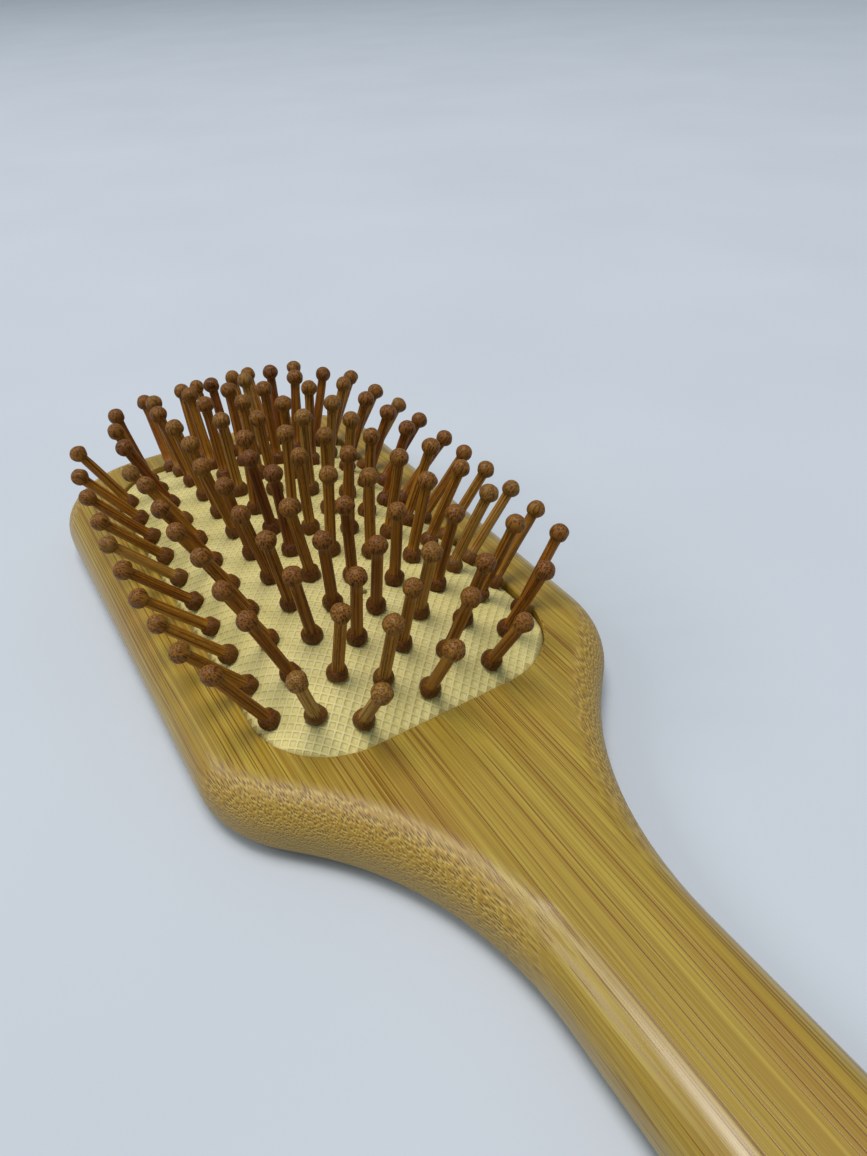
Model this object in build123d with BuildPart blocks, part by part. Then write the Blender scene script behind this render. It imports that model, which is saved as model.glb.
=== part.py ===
"""Paddle hairbrush: a bamboo paddle with an air-cushioned rubber pad and turned wooden pins.

Millimetres.  +Z is up, with the pins standing up and the back of the paddle on Z = 0.
+Y points along the brush, from the handle to the head.  The origin is the middle of the
brush's footprint, on its back face.

A pin can sink into the cushion.  Pins at the same distance from the middle of the cushion, left
and right, near and far, stand at the same height on the dome and are one node of separate solids.
"""

import os
from build123d import *

# ---- paddle -------------------------------------------------------------------------------
total_length = 245.0
board_thickness = 13.0
face_edge_round = 6.4
back_edge_round = 4.8
head_width = 80.0
head_side_end = 115.5           # from the far end to where the straight sides would end
neck_width = 23.6
neck_distance = 144.0           # from the far end to where shoulder and handle lines meet
handle_end_width = 27.2
far_corner_round = 21.0
shoulder_round = 24.0
neck_round = 60.0
handle_end_round = 13.0

# ---- pocket and cushion -------------------------------------------------------------------
pocket_width = 57.2
pocket_length = 109.0
pocket_corner = 15.5
pocket_depth = 6.5
pocket_edge_round = 0.4
head_border = 11.0              # wood between the pocket and the far end of the head

cushion_gap = 0.15              # all round, between rubber and wood
rubber = 1.4                    # thickness of the membrane
rim_drop = 1.75                 # the cushion's rim lies this far below the wood's face
dome_rise = 10.3                # from the rim to the crown
dome_power_x = 3.05
dome_power_y = 3.2
lip_width = 1.0                 # bead that snaps into the groove of the pocket
lip_height = 1.6
lip_under_rim = 1.2
vent_radius = 0.7
vent_row = 6                    # half pitches from the middle, towards the handle

# ---- pins ---------------------------------------------------------------------------------
column_pitch = 6.35
half_row_pitch = 4.5            # neighbouring columns are staggered by this much
rows_by_column = [
    [1, 3, 5, 7, 9, 11],        # middle column
    [0, 2, 4, 6, 8, 10],
    [1, 3, 5, 7, 9, 11],
    [0, 2, 4, 6, 8, 10],
    [1, 3, 5, 7, 9],            # outer columns
]
pin_height = 17.3               # from the rubber to the centre of the ball
ball_radius = 1.7
shaft_radius = 1.08
collar_radius = 1.9
collar_foot_radius = 1.45
collar_middle = 0.95            # height of the widest part of the collar
collar_height = 2.5
collar_clearance = 0.1
neck_radius = 0.9
pin_hole_radius = 0.95
barb_radius = 1.6
barb_thickness = 0.9
fan_y = 1.15                    # the pins fan out a little more along the brush

# ---- worked out ---------------------------------------------------------------------------
board_top = board_thickness
pocket_floor = board_top - pocket_depth
rim_height = board_top - rim_drop
lip_top = rim_height - lip_under_rim
lip_bottom = lip_top - lip_height
pad_y = total_length / 2 - head_border - pocket_length / 2
half_pad_x = pocket_width / 2
half_pad_y = pocket_length / 2


def dome_height(x, y):
    """Height of the rubber's outer face, with x and y from the middle of the cushion."""
    across = 1 - abs(x / half_pad_x) ** dome_power_x
    along = 1 - abs(y / half_pad_y) ** dome_power_y
    return rim_height + dome_rise * across * along


def dome_normal(x, y):
    """Direction in which a pin stands at x, y."""
    step = 0.01
    slope_x = (dome_height(x + step, y) - dome_height(x - step, y)) / (2 * step)
    slope_y = (dome_height(x, y + step) - dome_height(x, y - step)) / (2 * step)
    return Vector(-slope_x, -slope_y * fan_y, 1).normalized()


def dome_face(drop):
    """The dome as one smooth face, lowered by drop, a little larger than the pocket."""
    steps_x, steps_y, spill = 24, 40, 0.3
    grid = []
    for i in range(steps_x + 1):
        x = (half_pad_x + spill) * (2 * i / steps_x - 1)
        line = []
        for j in range(steps_y + 1):
            y = (half_pad_y + spill) * (2 * j / steps_y - 1)
            line.append(Vector(x, pad_y + y, dome_height(x, y) - drop))
        grid.append(line)
    return Face.make_surface_from_array_of_points(grid, tol=0.002)


def pocket_outline(inset):
    """Sketch of the pocket's outline, moved in by inset, in the plane of the open sketch."""
    with Locations((0, pad_y)):
        RectangleRounded(pocket_width - 2 * inset, pocket_length - 2 * inset, pocket_corner - inset)


def under_dome(inset, bottom, drop):
    """Solid that fills the pocket's outline from bottom up to the dome lowered by drop."""
    with BuildPart() as block:
        with BuildSketch(Plane.XY.offset(bottom)):
            pocket_outline(inset)
        extrude(amount=rim_height + dome_rise + 1 - bottom)
        split(bisect_by=dome_face(drop), keep=Keep.BOTTOM)
    return block.part


def pin_plane(x, y):
    """Plane on the rubber's face at x, y from the middle of the cushion, square to the pin."""
    return Plane(origin=(x, pad_y + y, dome_height(x, y)), x_dir=(0, 1, 0), z_dir=dome_normal(x, y))


def group_places(column, row):
    """The two or four places of one group of pins, from the middle of the cushion."""
    xs = [column * column_pitch, -column * column_pitch] if column else [0.0]
    ys = [row * half_row_pitch, -row * half_row_pitch] if row else [0.0]
    return [(x, y) for x in xs for y in ys]


groups = [(column, row) for column, rows in enumerate(rows_by_column) for row in rows]
pin_planes = [pin_plane(x, y) for column, row in groups for x, y in group_places(column, row)]

os.makedirs("parts", exist_ok=True)

# ---- bamboo paddle: one board with a rounded edge, and a pocket with a groove -----------------
far_end = total_length / 2
with BuildPart() as paddle:
    with BuildSketch():
        with BuildLine():
            Polyline(
                (0, far_end),
                (head_width / 2, far_end),
                (head_width / 2, far_end - head_side_end),
                (neck_width / 2, far_end - neck_distance),
                (handle_end_width / 2, -far_end),
                (0, -far_end),
            )
            mirror(about=Plane.YZ)
        make_face()
        fillet(vertices().group_by(Axis.Y)[3], far_corner_round)
        fillet(vertices().group_by(Axis.Y)[2], shoulder_round)
        fillet(vertices().group_by(Axis.Y)[1], neck_round)
        fillet(vertices().group_by(Axis.Y)[0], handle_end_round)
    extrude(amount=board_thickness)
    fillet(edges().group_by(Axis.Z)[-1], face_edge_round)
    fillet(edges().group_by(Axis.Z)[0], back_edge_round)
    with BuildSketch(Plane.XY.offset(pocket_floor)):
        pocket_outline(0)
    extrude(amount=pocket_depth, mode=Mode.SUBTRACT)
    with BuildSketch(Plane.XY.offset(lip_bottom - cushion_gap)):
        pocket_outline(-lip_width - cushion_gap)
    extrude(amount=lip_height + 2 * cushion_gap, mode=Mode.SUBTRACT)
    pocket_rim = edges().filter_by_position(Axis.Z, board_top, board_top)
    pocket_rim = pocket_rim.filter_by_position(Axis.X, -half_pad_x, half_pad_x)
    pocket_rim = pocket_rim.filter_by_position(Axis.Y, pad_y - half_pad_y, pad_y + half_pad_y)
    fillet(pocket_rim, pocket_edge_round)
paddle.part.label = "paddle"

# ---- air cushion: domed rubber membrane with a bead round its skirt ----------------------------
air_space = under_dome(cushion_gap + rubber, lip_bottom, rubber)
with BuildPart() as air_cushion:
    add(under_dome(cushion_gap, lip_bottom, 0))
    with BuildSketch(Plane.XY.offset(lip_bottom)):
        pocket_outline(-lip_width)
    extrude(amount=lip_height)
    add(air_space, mode=Mode.SUBTRACT)
    with Locations(*pin_planes):
        Cylinder(pin_hole_radius, 4 * rubber, mode=Mode.SUBTRACT)
    with Locations((0, pad_y - vent_row * half_row_pitch, rim_height + dome_rise)):
        Cylinder(vent_radius, 4 * rubber, mode=Mode.SUBTRACT)
air_cushion.part.label = "air_cushion"

# ---- one turned pin, standing on its own origin --------------------------------------------------
barb_top = -rubber - collar_clearance
barb_bottom = barb_top - barb_thickness
with BuildPart() as pin:
    with BuildSketch(Plane.XZ):
        with BuildLine():
            Polyline(
                (0, barb_bottom),
                (barb_radius, barb_bottom),
                (barb_radius, barb_top),
                (neck_radius, barb_top),
                (neck_radius, collar_clearance),
                (collar_foot_radius, collar_clearance),
            )
            ThreePointArc(
                (collar_foot_radius, collar_clearance),
                (collar_radius, collar_middle),
                (shaft_radius, collar_height),
            )
            ball_join = pin_height - (ball_radius**2 - shaft_radius**2) ** 0.5
            Line((shaft_radius, collar_height), (shaft_radius, ball_join))
            ThreePointArc(
                (shaft_radius, ball_join),
                (ball_radius, pin_height),
                (0, pin_height + ball_radius),
            )
            Line((0, pin_height + ball_radius), (0, barb_bottom))
        make_face()
    revolve(axis=Axis.Z)

pin_nodes = []
for column, row in groups:
    with BuildPart() as pin_group:
        with Locations(*[pin_plane(x, y) for x, y in group_places(column, row)]):
            add(pin.part)
    pin_group.part.label = f"pins_column_{column}_row_{row}"
    pin_nodes.append(pin_group.part)

for node in [paddle.part, air_cushion.part] + pin_nodes:
    export_step(node, f"parts/{node.label}.step")
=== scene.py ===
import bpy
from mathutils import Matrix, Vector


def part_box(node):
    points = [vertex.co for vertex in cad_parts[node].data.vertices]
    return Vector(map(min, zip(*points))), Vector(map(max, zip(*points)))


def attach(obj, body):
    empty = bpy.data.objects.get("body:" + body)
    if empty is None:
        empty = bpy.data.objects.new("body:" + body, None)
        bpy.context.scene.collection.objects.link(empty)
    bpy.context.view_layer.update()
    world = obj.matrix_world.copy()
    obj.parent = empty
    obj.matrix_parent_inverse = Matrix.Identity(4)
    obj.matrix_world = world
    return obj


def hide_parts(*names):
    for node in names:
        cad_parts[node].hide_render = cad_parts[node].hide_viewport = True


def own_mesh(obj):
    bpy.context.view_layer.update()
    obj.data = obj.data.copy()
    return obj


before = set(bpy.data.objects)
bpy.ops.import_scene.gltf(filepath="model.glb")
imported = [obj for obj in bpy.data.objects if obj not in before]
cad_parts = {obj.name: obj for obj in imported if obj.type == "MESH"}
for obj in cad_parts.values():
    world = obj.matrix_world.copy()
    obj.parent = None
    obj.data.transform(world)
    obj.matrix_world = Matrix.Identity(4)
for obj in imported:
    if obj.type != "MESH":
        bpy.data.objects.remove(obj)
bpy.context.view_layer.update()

import math
import random

import bmesh
import bpy
import numpy as np
from mathutils import Matrix, Vector

MM = 0.001

# ---- the brush's own sizes, in millimetres, as in the CAD model -----------------------------
HALF_PAD_X = 28.6
HALF_PAD_Y = 54.5
PAD_CORNER = 15.5
CUSHION_GAP = 0.15
RIM_HEIGHT = 11.25
DOME_RISE = 10.3
DOME_POWER_X = 3.05
DOME_POWER_Y = 3.2
FAN_Y = 1.15
COLUMN_PITCH = 6.35
HALF_ROW_PITCH = 4.5
VENT_Y = -27.0
VENT_RADIUS = 0.7

# ---- embossed grid of the rubber, millimetres ------------------------------------------------
GRID_PITCH = 1.38
RIDGE_HALF = 0.11               # in pitches
RIDGE_SLOPE = 0.07              # in pitches
RIDGE_HEIGHT = 0.14
RIDGE_FADE = 0.8                # the ridges fade out this near the rubber's outline
RIM_TUCK = 0.35                 # the rubber dips this far at its outline
DIMPLE_DEPTH = 0.30             # the rubber is drawn in a little round each pin
DIMPLE_RADIUS = 2.3
SKIRT_DEPTH = 0.9
SKIRT_BANDS = (0.25, 1.0)       # shares of the depth that each band of the skirt goes down

# ---- turned pins, millimetres ----------------------------------------------------------------
PIN_HEIGHT = 17.3               # from the rubber to the middle of the ball
BALL_RADIUS = 1.78
SHAFT_RADIUS = 1.08
SHAFT_TOP_SHARE = 0.94          # the shaft thins a little towards its ball
COLLAR_RADIUS = 1.9
COLLAR_MIDDLE = 0.95
COLLAR_FOOT = 0.06
COLLAR_FOOT_RADIUS = 1.45
NECK_RADIUS = 0.9
NECK_DEPTH = 0.3
PIN_SEGMENTS = 36
COLLAR_RINGS = 10
SHAFT_RINGS = 8
BALL_RINGS = 16
MERGE_DISTANCE = 0.002          # points this near are one
PIN_SINK = 0.12                 # the collar is pressed this far into the rubber
FLUTE_START = 2.4               # height where the collar ends and the flutes begin
FLUTE_DEPTH = 0.05
FLUTE_RISE = 0.03
BALL_SIZES = (0.96, 1.05)       # smallest and largest ball, as shares of the usual one
DENT_COUNT = 4
DENT_WAVES = (2, 3, 4, 5)       # humps that one dent pattern has round the pin
DENT_DEPTHS = (0.01, 0.03)      # shares of the radius
DENT_TWIST = 1.7                # radians for each mm up the pin
PIN_BOW = 0.1

# ---- what differs from pin to pin ---------------------------------------------------------------
PIN_RANDOM_SEED = 11
TONE_MIDDLE = 0.58
TONE_SPREAD = 0.25
TILT_SPREAD = 2.0               # degrees by which hand-set pins stray

# Some pins near the handle, by signed column and row: tone from 0 dark to 1 light, and degrees
# of lean to the right and towards the far end.
KNOWN_PINS = {
    (-4, -9): (0.45, 1, 3),
    (-3, -10): (0.95, -3, -5),
    (-3, -8): (0.30, -1, 6),
    (-3, -6): (0.40, 0, -1),
    (-3, -4): (0.50, 2, -1),
    (-2, -11): (0.95, 1, -7),
    (-2, -9): (0.62, 8, 3),
    (-2, -7): (0.40, 0, 0),
    (-2, -5): (0.50, 1, -2),
    (-2, -3): (0.45, -1, -4),
    (-1, -10): (0.75, 2, 6),
    (-1, -8): (0.38, 0, 1),
    (-1, -6): (0.25, -3, -3),
    (-1, -4): (0.50, -6, -1),
    (0, -11): (0.65, 1, 1),
    (0, -9): (0.55, 0, 1),
    (0, -7): (0.30, -2, -3),
    (0, -5): (0.35, -2, 0),
    (1, -10): (0.50, 3, 3),
    (1, -8): (0.80, -1, -2),
    (1, -6): (0.50, -2, -2),
    (2, -11): (0.50, -1, -3),
    (2, -9): (0.35, -3, -2),
    (2, -7): (0.50, 0, 1),
    (3, -10): (0.30, 2, -2),
    (3, -8): (0.60, 3, 1),
    (4, -9): (0.40, 3, 5),
    (4, -7): (0.70, 3, 4),
}

# ---- grain of the bamboo, millimetres ----------------------------------------------------------
BUNDLES_PER_MM = 2.8
FINE_FIBRES_PER_MM = 4.3
PORES_PER_MM = 3.1
PORE_SHORTENING = 0.7           # pores are this share as wide as they are tall
PAINTED_HIGHLIGHT_SHIFT = 0.10                # shift that puts each pore's painted highlight, a light lip, just under it
STRIP_WIDTH = 14.0
STRIP_SHIFT = 49.0              # half of an odd number of strips, so one is in the middle
STRIP_SEED = 2.0
SEED_REACH = 300.0              # how far apart the strips take their grain from the pattern
PIN_SEED_REACH = 700.0          # the same for pins
GRAIN_WANDER = 2.4
GRAIN_RISE = 0.7

# ---- stage ----------------------------------------------------------------------------------------
FLOOR_SIZE = 6.0                # metres
LIGHTS = [                      # name, place and side in metres, power in watts, colour
    ("softbox", (-0.18, 0.08, 2.45), 1.05, 44.0, (1.0, 0.97, 0.98)),
    ("window", (-1.9, 1.2, 1.8), 1.0, 18.0, (1.0, 0.98, 0.96)),
]
LIGHT_AIM = (0.0, 0.03, 0.01)
SKY_COLOUR = (0.70, 0.86, 1.0, 1.0)
SKY_STRENGTH = 0.37
CAMERA_PLACE = Vector((-51.5, -85.1, 119.4)) * MM
CAMERA_AIM = Vector((17.6, 34.7, 13.0)) * MM
CAMERA_ROLL = -2.7              # degrees
CAMERA_LENS = 27.0              # mm
CAMERA_SENSOR = 36.0            # mm

cushion_low, cushion_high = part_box("air_cushion")
PAD_Y = (cushion_low[1] + cushion_high[1]) / 2 / MM


def dome_height(x, y):
    """Height of the rubber in mm, with x and y from the middle of the cushion."""
    across = 1 - np.abs(x / HALF_PAD_X) ** DOME_POWER_X
    along = 1 - np.abs(y / HALF_PAD_Y) ** DOME_POWER_Y
    return RIM_HEIGHT + DOME_RISE * across * along


def dome_normal(x, y):
    """Direction in which a pin stands at x, y."""
    step = 0.01
    slope_x = (dome_height(x + step, y) - dome_height(x - step, y)) / (2 * step)
    slope_y = (dome_height(x, y + step) - dome_height(x, y - step)) / (2 * step)
    return Vector((-slope_x, -slope_y * FAN_Y, 1)).normalized()


# =============================================================================================
# Materials
# =============================================================================================
def srgb(red, green, blue):
    """Linear colour from 0-255 display values."""
    out = []
    for value in (red, green, blue):
        value /= 255
        out.append(value / 12.92 if value <= 0.04045 else ((value + 0.055) / 1.055) ** 2.4)
    return (*out, 1.0)


class Shader:
    """A material's node graph, built with short calls that take sockets or plain values."""

    def __init__(self, name):
        self.material = bpy.data.materials.new(name)
        self.material.use_nodes = True
        self.tree = self.material.node_tree
        self.tree.nodes.clear()
        output = self.tree.nodes.new("ShaderNodeOutputMaterial")
        self.bsdf = self.tree.nodes.new("ShaderNodeBsdfPrincipled")
        self.tree.links.new(self.bsdf.outputs[0], output.inputs["Surface"])

    def put(self, socket, value):
        if isinstance(value, bpy.types.NodeSocket):
            self.tree.links.new(value, socket)
        elif value is not None:
            socket.default_value = value

    def node(self, kind, inputs=(), **settings):
        made = self.tree.nodes.new(kind)
        for key, value in settings.items():
            setattr(made, key, value)
        for key, value in dict(inputs).items():
            self.put(made.inputs[key], value)
        return made

    def math(self, operation, a, b=None):
        return self.node("ShaderNodeMath", {0: a, 1: b}, operation=operation).outputs[0]

    def add(self, a, b):
        return self.math("ADD", a, b)

    def times(self, a, b):
        return self.math("MULTIPLY", a, b)

    def attribute(self, name, output="Fac"):
        return self.node("ShaderNodeAttribute", attribute_name=name).outputs[output]

    def step(self, value, low, high, to_low=0.0, to_high=1.0):
        """Smooth change from to_low to to_high as value goes from low to high."""
        made = self.node(
            "ShaderNodeMapRange",
            {0: value, 1: low, 2: high, 3: to_low, 4: to_high},
            interpolation_type="SMOOTHSTEP",
        )
        return made.outputs[0]

    def spot(self, distance, size, full, none):
        """1 as far out as full times size, then a smooth change to 0 at none times size."""
        return self.step(self.math("DIVIDE", distance, size), full, none, 1.0, 0.0)

    def join(self, x, y, z):
        return self.node("ShaderNodeCombineXYZ", {0: x, 1: y, 2: z}).outputs[0]

    def object_mm(self):
        """Object coordinates in millimetres, as three sockets."""
        coords = self.node("ShaderNodeTexCoord").outputs["Object"]
        scaled = self.node("ShaderNodeVectorMath", {0: coords, "Scale": 1 / MM}, operation="SCALE")
        split = self.node("ShaderNodeSeparateXYZ", {0: scaled.outputs[0]})
        return split.outputs[0], split.outputs[1], split.outputs[2]

    def noise(self, x, y, z, scales, detail=2.0, roughness=0.5):
        """Noise from 0 to 1 whose features are about 1 / scale long along each axis."""
        place = self.join(*[self.times(v, scale) for v, scale in zip((x, y, z), scales)])
        made = self.node(
            "ShaderNodeTexNoise",
            {"Vector": place, "Scale": 1.0, "Detail": detail, "Roughness": roughness},
        )
        return made.outputs[0]

    def fibres(self, across, up, per_mm):
        """Fibres that run on without end and are cut by the surface: the distance in cells from
        the nearest one's middle, and a random number for it."""
        place = self.join(self.times(across, per_mm), self.times(up, per_mm), 0.0)
        made = self.node(
            "ShaderNodeTexVoronoi", {"Vector": place, "Scale": 1.0}, voronoi_dimensions="2D"
        )
        number = self.node("ShaderNodeSeparateColor", {0: made.outputs["Color"]}).outputs[0]
        return made.outputs["Distance"], number

    def ramp(self, value, stops):
        made = self.node("ShaderNodeValToRGB", {0: value})
        points = made.color_ramp.elements
        while len(points) < len(stops):
            points.new(0.5)
        for point, (place, colour) in zip(points, stops):
            point.position = place
            point.color = colour
        return made.outputs[0]

    def mix(self, share, a, b):
        """Colour a, with its share of b.  Inputs 6 and 7 and output 2 are the node's colours."""
        made = self.node("ShaderNodeMix", {0: share, 6: a, 7: b}, data_type="RGBA")
        return made.outputs[2]

    def layered(self, base, *layers):
        """Base with layers of (share, colour) laid over it in turn."""
        for share, colour in layers:
            base = self.mix(share, base, colour)
        return base

    def bump(self, height, distance):
        return self.node("ShaderNodeBump", {"Height": height, "Distance": distance}).outputs[0]

    def surface(self, **values):
        for key, value in values.items():
            self.put(self.bsdf.inputs[key.replace("_", " ")], value)
        return self.material


def bamboo_material():
    """Lacquered bamboo board, glued from strips.  Its fibre bundles run along Y, so they show as
    fine lines on the face, and as dark pores where the rounded edge cuts them, each with a painted
    highlight as a light lip."""
    s = Shader("bamboo")
    x, y, z = s.object_mm()

    # each strip has its own grain, and all the grain wanders a little
    wander = s.noise(x, y, z, (0.02, 0.009, 0.02))
    across = s.add(x, s.times(s.math("SUBTRACT", wander, 0.5), GRAIN_WANDER))
    strip = s.math("FLOOR", s.math("DIVIDE", s.add(across, STRIP_SHIFT), STRIP_WIDTH))
    seed = s.node(
        "ShaderNodeTexWhiteNoise", {0: s.join(strip, STRIP_SEED, 0.0)}, noise_dimensions="3D"
    ).outputs["Value"]
    across_own = s.add(across, s.times(seed, SEED_REACH))
    up = s.add(z, s.times(s.noise(x, y, z, (0.02, 0.012, 0.0)), GRAIN_RISE))

    # 1 where the surface is cut across the fibres
    normal = s.node("ShaderNodeNewGeometry").outputs["Normal"]
    facing = s.node("ShaderNodeSeparateXYZ", {0: normal}).outputs[1]
    end_grain = s.step(s.math("ABSOLUTE", facing), 0.02, 0.20)

    bundle_distance, bundle_number = s.fibres(across_own, up, BUNDLES_PER_MM)
    along = s.noise(across_own, y, up, (2.5, 0.02, 2.5))
    bundle_size = s.add(
        s.step(bundle_number, 0.0, 1.0, 0.12, 0.32), s.step(along, 0.3, 0.7, -0.05, 0.05)
    )
    bundle = s.spot(bundle_distance, bundle_size, 0.6, 1.3)
    fine_distance, _ = s.fibres(across_own, up, FINE_FIBRES_PER_MM)
    fine = s.step(fine_distance, 0.10, 0.45, 1.0, 0.0)

    pore_up = s.times(up, PORE_SHORTENING)
    pore_distance, pore_number = s.fibres(across_own, pore_up, PORES_PER_MM)
    pore_size = s.step(pore_number, 0.0, 0.8, 0.16, 0.42)
    pore = s.times(s.spot(pore_distance, pore_size, 0.4, 1.2), end_grain)
    pit = s.times(s.spot(pore_distance, pore_size, 0.0, 1.6), end_grain)
    # painted highlight: a light lip just under each pore, standing in for light caught at the pit's edge
    highlight_distance, highlight_number = s.fibres(across_own, s.add(pore_up, PAINTED_HIGHLIGHT_SHIFT), PORES_PER_MM)
    highlight_size = s.step(highlight_number, 0.0, 0.8, 0.20, 0.48)
    lip_highlight = s.times(s.spot(highlight_distance, highlight_size, 0.5, 1.2), end_grain)

    streak = s.noise(across_own, y, up, (2.8, 0.008, 2.8), detail=5.0, roughness=0.7)
    band = s.noise(across_own, y, up, (0.8, 0.004, 0.8), detail=4.0, roughness=0.65)
    cloud = s.noise(x, y, z, (0.07, 0.02, 0.1), detail=3.0)
    stain = s.noise(x, y, z, (0.16, 0.06, 0.16), detail=5.0, roughness=0.7)

    bands = [
        (0.30, srgb(154, 118, 30)),
        (0.45, srgb(172, 144, 44)),
        (0.58, srgb(178, 154, 56)),
        (0.72, srgb(190, 164, 56)),
    ]
    line_depth = s.add(s.step(bundle_number, 0.40, 0.80, 0.35, 0.85), s.times(end_grain, -0.35))
    dark_streak = (s.step(streak, 0.38, 0.62, 0.66, 0.0), srgb(130, 92, 14))
    light_streak = (s.step(streak, 0.60, 0.76, 0.0, 0.30), srgb(204, 180, 100))
    olive_strip = (s.times(seed, 0.20), srgb(160, 146, 66))
    amber_cloud = (s.step(cloud, 0.45, 0.72, 0.0, 0.45), srgb(154, 112, 42))
    fine_fibres = (s.times(fine, 0.28), srgb(134, 100, 32))
    cut_wood = (s.times(end_grain, 0.60), srgb(162, 124, 32))
    bundles = (s.times(bundle, line_depth), srgb(110, 64, 6))
    # painted highlight on each pore's lip
    painted_lip_highlights = (s.times(lip_highlight, 0.58), srgb(208, 180, 96))
    pores = (s.times(pore, 0.84), srgb(94, 60, 0))
    stains = (s.step(stain, 0.66, 0.76, 0.0, 0.35), srgb(112, 70, 30))
    base = s.layered(
        s.ramp(band, bands),
        dark_streak, light_streak, olive_strip, amber_cloud, fine_fibres,
        cut_wood, bundles, painted_lip_highlights, pores, stains,
    )

    height = s.add(s.times(pit, -0.35), s.times(streak, 0.12))
    height = s.add(height, s.times(bundle, -0.08))
    return s.surface(
        Base_Color=base,
        Roughness=s.add(s.add(0.23, s.times(streak, 0.12)), s.times(end_grain, 0.18)),
        Normal=s.bump(height, 0.10 * MM),
        Specular_IOR_Level=0.56,
    )


def rubber_material():
    """Natural rubber with a fine embossed grid.  Its low squares, and the walls between them and
    the ridges, are darkened with painted shade."""
    s = Shader("natural_rubber")
    x, y, z = s.object_mm()
    relief = s.attribute("relief")
    # painted shade on the walls between the low squares and the ridges
    wall_shade = s.times(s.step(relief, 0.02, 0.35), s.step(relief, 0.45, 0.95, 1.0, 0.0))
    cloud = s.noise(x, y, z, (0.09, 0.09, 0.09), detail=4.0)
    grain = s.noise(x, y, z, (4.0, 4.0, 4.0), detail=3.0)

    # painted shade: the low squares and the walls are darkened
    shaded_low_squares = (s.step(relief, 0.0, 1.0, 0.42, 0.0), srgb(204, 186, 100))
    shaded_walls = (s.times(wall_shade, 0.75), srgb(140, 120, 56))
    grains = (s.step(grain, 0.55, 0.8, 0.0, 0.15), srgb(196, 180, 112))
    cream = s.ramp(cloud, [(0.35, srgb(211, 197, 124)), (0.65, srgb(221, 208, 140))])
    return s.surface(
        Base_Color=s.layered(cream, shaded_low_squares, shaded_walls, grains),
        Roughness=s.add(0.40, s.times(grain, 0.2)),
        Normal=s.bump(grain, 0.02 * MM),
        Specular_IOR_Level=0.45,
    )


def pin_material():
    """Carbonised bamboo: dark fibres along the pin, which show as stripes on its shaft and as
    flecks on its ball and collar."""
    s = Shader("carbonised_bamboo")
    place = s.attribute("pin_place", "Vector")
    split = s.node("ShaderNodeSeparateXYZ", {0: place})
    tone = s.attribute("tone")
    seed = s.attribute("pin_seed")
    shift = s.times(seed, PIN_SEED_REACH)
    x, y, z = s.add(split.outputs[0], shift), s.add(split.outputs[1], shift), split.outputs[2]
    on_shaft = s.times(s.step(z, 2.2, 2.8), s.step(z, 15.4, 16.0, 1.0, 0.0))

    distance, number = s.fibres(x, y, BUNDLES_PER_MM)
    broken = s.noise(x, y, z, (2.0, 2.0, 0.9))
    size = s.add(s.step(number, 0.0, 1.0, 0.24, 0.42), s.step(broken, 0.3, 0.7, -0.08, 0.08))
    fleck = s.spot(distance, size, 0.6, 1.15)
    streak = s.noise(x, y, z, (2.6, 2.6, 0.05), detail=4.0, roughness=0.65)
    mottle = s.noise(x, y, z, (1.4, 1.4, 0.9), detail=4.0, roughness=0.6)

    lights = [
        (0.0, srgb(128, 68, 12)),
        (0.35, srgb(158, 98, 20)),
        (0.65, srgb(176, 122, 36)),
        (1.0, srgb(180, 140, 64)),
    ]
    darks = [
        (0.0, srgb(70, 26, 0)),
        (0.5, srgb(102, 48, 0)),
        (1.0, srgb(136, 84, 16)),
    ]
    light, dark = s.ramp(tone, lights), s.ramp(tone, darks)
    shaft = s.mix(s.step(streak, 0.34, 0.66, 0.0, 0.70), light, dark)
    waxed = (s.step(mottle, 0.35, 0.7, 0.55, 0.90), srgb(104, 66, 24))
    # darker on the collar and the foot of the shaft, fading out higher up
    darker_collar_foot = (s.step(z, 2.0, 3.5, 0.65, 0.0), srgb(88, 48, 12))
    knob = s.layered(light, waxed, darker_collar_foot)
    fleck_depth = s.add(s.step(seed, 0.1, 0.9, 0.85, 1.0), s.times(on_shaft, -0.15))
    flecks = (s.times(fleck, fleck_depth), s.mix(0.5, dark, srgb(44, 18, 0)))

    height = s.add(s.times(fleck, -1.0), s.times(streak, -0.6))
    height = s.add(height, s.times(mottle, 0.8))
    return s.surface(
        Base_Color=s.layered(s.mix(on_shaft, knob, shaft), flecks),
        Roughness=s.add(0.38, s.times(streak, 0.16)),
        Normal=s.bump(height, 0.05 * MM),
        Specular_IOR_Level=0.22,
    )


def floor_material():
    s = Shader("studio_floor")
    x, y, z = s.object_mm()
    cloud = s.noise(x, y, z, (0.01, 0.01, 0.01))
    base = s.ramp(cloud, [(0.3, srgb(190, 196, 201)), (0.7, srgb(194, 200, 205))])
    return s.surface(Base_Color=base, Roughness=0.9)


# =============================================================================================
# Rubber cushion
# =============================================================================================
def outline_distance(x, y, inset=CUSHION_GAP):
    """Signed distance to the cushion's rounded outline, negative inside, and its gradient."""
    radius = PAD_CORNER - inset
    away_x = np.abs(x) - (HALF_PAD_X - inset - radius)
    away_y = np.abs(y) - (HALF_PAD_Y - inset - radius)
    corner_x, corner_y = np.maximum(away_x, 0), np.maximum(away_y, 0)
    corner = np.hypot(corner_x, corner_y)
    distance = corner + np.minimum(np.maximum(away_x, away_y), 0) - radius
    safe = np.maximum(corner, 1e-9)
    flat_x = np.where(away_x > away_y, 1.0, 0.0)
    gradient_x = np.where(corner > 0, corner_x / safe, flat_x) * np.sign(x)
    gradient_y = np.where(corner > 0, corner_y / safe, 1 - flat_x) * np.sign(y)
    return distance, gradient_x, gradient_y


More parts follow.
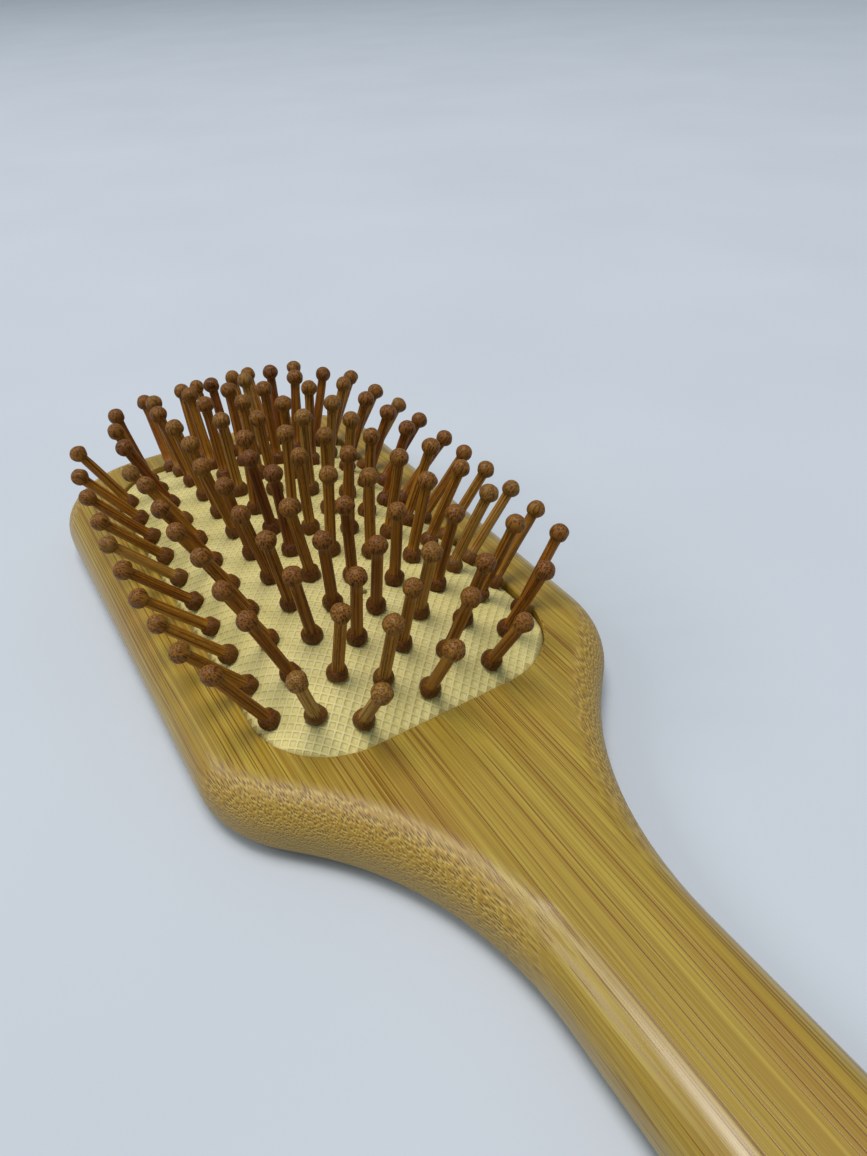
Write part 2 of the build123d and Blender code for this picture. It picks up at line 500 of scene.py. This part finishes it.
def pin_places():
    """Each pin's column, row and place in mm from the middle of the cushion."""
    places = []
    for name in sorted(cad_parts):
        if not name.startswith("pins_column_"):
            continue
        column, row = int(name.split("_")[2]), int(name.split("_")[4])
        for side in ((1, -1) if column else (1,)):
            for end in ((1, -1) if row else (1,)):
                x = side * column * COLUMN_PITCH
                y = end * row * HALF_ROW_PITCH
                places.append((name, side * column, end * row, x, y))
    return places


def grid_lines(reach):
    """Places of the mesh lines across the grid, in mm, and whether each is on a ridge."""
    offsets = [-RIDGE_HALF, RIDGE_HALF, RIDGE_HALF + RIDGE_SLOPE, 1 - RIDGE_HALF - RIDGE_SLOPE]
    count = int(reach / GRID_PITCH) + 1
    places, on_ridge = [], []
    for cell in range(-count, count + 1):
        for index, offset in enumerate(offsets):
            places.append((cell + offset) * GRID_PITCH)
            on_ridge.append(index < 2)
    return np.array(places), np.array(on_ridge)


def make_cushion():
    """The dome with its embossed grid as real relief.  The grid runs at 45 degrees."""
    reach = (HALF_PAD_X + HALF_PAD_Y) / math.sqrt(2)
    lines, ridge = grid_lines(reach)
    u, v = np.meshgrid(lines, lines, indexing="ij")
    raised = ridge[:, None] | ridge[None, :]
    x, y = (u - v) / math.sqrt(2), (u + v) / math.sqrt(2)

    n = len(lines)
    index = np.arange(n * n).reshape(n, n)
    corners = [index[:-1, :-1], index[1:, :-1], index[1:, 1:], index[:-1, 1:]]
    quads = np.stack(corners, -1).reshape(-1, 4)
    x, y, raised = x.ravel(), y.ravel(), raised.ravel()
    middle_x, middle_y = x[quads].mean(1), y[quads].mean(1)
    inside = outline_distance(middle_x, middle_y)[0] < 0
    inside &= np.hypot(middle_x, middle_y - VENT_Y) > VENT_RADIUS
    quads = quads[inside]

    # vertices on the open edges slide onto the outline or onto the vent's circle
    sides = [quads[:, [0, 1]], quads[:, [1, 2]], quads[:, [2, 3]], quads[:, [3, 0]]]
    pairs, counts = np.unique(np.sort(np.concatenate(sides), axis=1), axis=0, return_counts=True)
    rim = np.unique(pairs[counts == 1])
    at_vent = np.hypot(x[rim], y[rim] - VENT_Y) < 3 * VENT_RADIUS
    outer, inner = rim[~at_vent], rim[at_vent]
    distance, gradient_x, gradient_y = outline_distance(x[outer], y[outer])
    x[outer] -= distance * gradient_x
    y[outer] -= distance * gradient_y
    angle = np.arctan2(y[inner] - VENT_Y, x[inner])
    x[inner] = VENT_RADIUS * np.cos(angle)
    y[inner] = VENT_Y + VENT_RADIUS * np.sin(angle)

    used = np.unique(quads)
    renumber = np.full(n * n, -1)
    renumber[used] = np.arange(len(used))
    x, y, raised = x[used], y[used], raised[used].astype(float)

    dimple = np.zeros_like(x)
    for _, _, _, pin_x, pin_y in pin_places():
        dimple += np.exp(-((x - pin_x) ** 2 + (y - pin_y) ** 2) / DIMPLE_RADIUS**2)
    height = dome_height(x, y) - DIMPLE_DEPTH * dimple
    edge_fade = np.clip(-outline_distance(x, y)[0] / RIDGE_FADE, 0, 1)
    height += RIDGE_HEIGHT * raised * edge_fade - RIM_TUCK * (1 - edge_fade) ** 2
    points = np.stack([x * MM, (y + PAD_Y) * MM, height * MM], -1)

    mesh = bpy.data.meshes.new("air_cushion_rubber")
    mesh.from_pydata(points.tolist(), [], renumber[quads].tolist())
    relief = mesh.attributes.new("relief", "FLOAT", "POINT")
    relief.data.foreach_set("value", raised.astype(np.float32))
    add_skirts(mesh)
    mesh.shade_smooth()
    cushion = bpy.data.objects.new("air_cushion_rubber", mesh)
    bpy.context.scene.collection.objects.link(cushion)
    mesh.materials.append(rubber_material())
    return cushion


def add_skirts(mesh):
    """Turns the open edges down: the outer one into the pocket, the vent's one through the rubber."""
    bm = bmesh.new()
    bm.from_mesh(mesh)
    open_edges = [edge for edge in bm.edges if edge.is_boundary]
    for share in SKIRT_BANDS:
        made = bmesh.ops.extrude_edge_only(bm, edges=open_edges)
        verts = [item for item in made["geom"] if isinstance(item, bmesh.types.BMVert)]
        for vert in verts:
            vert.co.z -= share * SKIRT_DEPTH * MM
        open_edges = [item for item in made["geom"] if isinstance(item, bmesh.types.BMEdge)]
    bmesh.ops.recalc_face_normals(bm, faces=bm.faces)
    bm.to_mesh(mesh)
    bm.free()


# =============================================================================================
# Pins
# =============================================================================================
def pin_profile():
    """(radius, height) up the outside of a pin in mm, from the neck under its collar."""
    shaft_top = SHAFT_TOP_SHARE * SHAFT_RADIUS
    collar_top = COLLAR_MIDDLE + math.sqrt(COLLAR_RADIUS**2 - SHAFT_RADIUS**2)
    ball_start = math.asin(shaft_top / BALL_RADIUS)
    shaft_end = PIN_HEIGHT - BALL_RADIUS * math.cos(ball_start)
    profile = [
        (0.0, -NECK_DEPTH),
        (NECK_RADIUS, -NECK_DEPTH),
        (NECK_RADIUS, 0.0),
        (COLLAR_FOOT_RADIUS, 0.0),
    ]
    for i in range(COLLAR_RINGS + 1):
        height = COLLAR_FOOT + (collar_top - COLLAR_FOOT) * i / COLLAR_RINGS
        profile.append((math.sqrt(COLLAR_RADIUS**2 - (height - COLLAR_MIDDLE) ** 2), height))
    for i in range(1, SHAFT_RINGS):
        t = i / SHAFT_RINGS
        radius = SHAFT_RADIUS + (shaft_top - SHAFT_RADIUS) * t
        profile.append((radius, collar_top + (shaft_end - collar_top) * t))
    for i in range(BALL_RINGS + 1):
        angle = math.pi - ball_start - (math.pi - ball_start) * i / BALL_RINGS
        profile.append((BALL_RADIUS * math.sin(angle), PIN_HEIGHT + BALL_RADIUS * math.cos(angle)))
    return profile


def pin_points(profile, rng):
    """Ring after ring of points of one pin in mm: a fluted shaft, an uneven ball and collar."""
    flutes = [rng.uniform(-FLUTE_DEPTH, FLUTE_RISE) for _ in range(PIN_SEGMENTS)]
    ball_size = rng.uniform(*BALL_SIZES)
    dents = [
        (rng.uniform(0, 2 * math.pi), rng.choice(DENT_WAVES), rng.uniform(*DENT_DEPTHS))
        for _ in range(DENT_COUNT)
    ]
    bend_x, bend_y = rng.uniform(-PIN_BOW, PIN_BOW), rng.uniform(-PIN_BOW, PIN_BOW)
    points = []
    for radius, height in profile:
        on_collar = 0.0 < height < FLUTE_START
        on_ball = height > PIN_HEIGHT - BALL_RADIUS
        bow = math.sin(math.pi * min(max(height / PIN_HEIGHT, 0.0), 1.0))
        for k in range(PIN_SEGMENTS):
            angle = 2 * math.pi * k / PIN_SEGMENTS
            r = radius
            if on_collar or on_ball:
                r *= 1 + sum(d * math.sin(n * angle + a + DENT_TWIST * height) for a, n, d in dents)
            elif height >= FLUTE_START:
                r += flutes[k]
            if on_ball:
                r *= ball_size
            points.append((r * math.cos(angle) + bend_x * bow, r * math.sin(angle) + bend_y * bow, height))
    return points


def pin_mesh(name, verts, faces, local, tones, seeds):
    """One group's mesh, smooth and closed.  Each point carries its place in its own pin, and its
    pin's tone and seed, for the material."""
    mesh = bpy.data.meshes.new(name)
    mesh.from_pydata(verts, [], faces)
    mesh.attributes.new("pin_place", "FLOAT_VECTOR", "POINT").data.foreach_set(
        "vector", np.array(local, np.float32).ravel()
    )
    mesh.attributes.new("tone", "FLOAT", "POINT").data.foreach_set("value", tones)
    mesh.attributes.new("pin_seed", "FLOAT", "POINT").data.foreach_set("value", seeds)
    bm = bmesh.new()
    bm.from_mesh(mesh)
    bmesh.ops.remove_doubles(bm, verts=bm.verts, dist=MERGE_DISTANCE * MM)
    bmesh.ops.recalc_face_normals(bm, faces=bm.faces)
    bm.to_mesh(mesh)
    bm.free()
    mesh.shade_smooth()
    return mesh


def make_pins():
    """One mesh for each group of pins, riding on the group's body.  Every pin has its own tone,
    grain, flutes and slight lean."""
    rng = random.Random(PIN_RANDOM_SEED)
    material = pin_material()
    profile = pin_profile()
    groups = {}
    for group, column, row, x, y in pin_places():
        groups.setdefault(group, []).append((column, row, x, y))
    for group in sorted(groups):
        verts, faces, local, tones, seeds = [], [], [], [], []
        for column, row, x, y in groups[group]:
            first = len(verts)
            points = pin_points(profile, rng)
            tone = min(max(rng.gauss(TONE_MIDDLE, TONE_SPREAD), 0.0), 1.0)
            lean = Vector((rng.gauss(0, 1), rng.gauss(0, 1), 0)) * math.radians(TILT_SPREAD)
            if (column, row) in KNOWN_PINS:
                tone, right, far = KNOWN_PINS[column, row]
                lean = Vector((math.radians(right), math.radians(far), 0))
            up = (dome_normal(x, y) + lean).normalized()
            stand = up.to_track_quat("Z", "Y").to_matrix()
            foot = Vector((x, PAD_Y + y, float(dome_height(x, y)))) - up * PIN_SINK
            verts += [tuple((foot + stand @ Vector(p)) * MM) for p in points]
            local += points
            tones += [tone] * len(points)
            seeds += [rng.random()] * len(points)
            for i in range(len(profile) - 1):
                for k in range(PIN_SEGMENTS):
                    a = first + i * PIN_SEGMENTS + k
                    b = first + i * PIN_SEGMENTS + (k + 1) % PIN_SEGMENTS
                    faces.append((a, b, b + PIN_SEGMENTS, a + PIN_SEGMENTS))
        mesh = pin_mesh(group.replace("pins", "turned_pins"), verts, faces, local, tones, seeds)
        mesh.materials.append(material)
        pins = bpy.data.objects.new(mesh.name, mesh)
        bpy.context.scene.collection.objects.link(pins)
        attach(pins, group)
        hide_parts(group)


# =============================================================================================
# Stage
# =============================================================================================
def make_floor():
    bpy.ops.mesh.primitive_plane_add(size=FLOOR_SIZE, location=(0, 0, 0))
    floor = bpy.context.object
    floor.name = "studio_floor"
    floor.data.materials.append(floor_material())


def add_area_light(name, place, side, power, colour):
    """Square light of the given side, turned towards LIGHT_AIM."""
    data = bpy.data.lights.new(name, "AREA")
    data.shape = "RECTANGLE"
    data.size = data.size_y = side
    data.energy = power
    data.color = colour
    lamp = bpy.data.objects.new(name, data)
    lamp.location = place
    lamp.rotation_euler = (Vector(LIGHT_AIM) - Vector(place)).to_track_quat("-Z", "Y").to_euler()
    bpy.context.scene.collection.objects.link(lamp)


def make_lights():
    for light in LIGHTS:
        add_area_light(*light)
    world = bpy.data.worlds.new("studio")
    world.use_nodes = True
    background = world.node_tree.nodes["Background"]
    background.inputs["Color"].default_value = SKY_COLOUR
    background.inputs["Strength"].default_value = SKY_STRENGTH
    bpy.context.scene.world = world
    bpy.context.scene.view_settings.view_transform = "Standard"


def make_camera():
    """A phone's view from the handle end, above and to the left of the head."""
    data = bpy.data.cameras.new("camera")
    data.sensor_width = CAMERA_SENSOR
    data.lens = CAMERA_LENS
    data.clip_start = 0.01
    camera = bpy.data.objects.new("camera", data)
    camera.location = CAMERA_PLACE
    look = (CAMERA_AIM - CAMERA_PLACE).to_track_quat("-Z", "Y").to_matrix()
    roll = Matrix.Rotation(math.radians(CAMERA_ROLL), 3, "Z")
    camera.rotation_euler = (look @ roll).to_euler()
    bpy.context.scene.collection.objects.link(camera)
    bpy.context.scene.camera = camera


# =============================================================================================
# The scene
# =============================================================================================
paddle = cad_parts["paddle"]
paddle.data.materials.clear()
paddle.data.materials.append(bamboo_material())

cushion = make_cushion()
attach(cushion, "paddle")
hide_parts("air_cushion")
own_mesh(cushion)

make_pins()
make_floor()
make_lights()
make_camera()
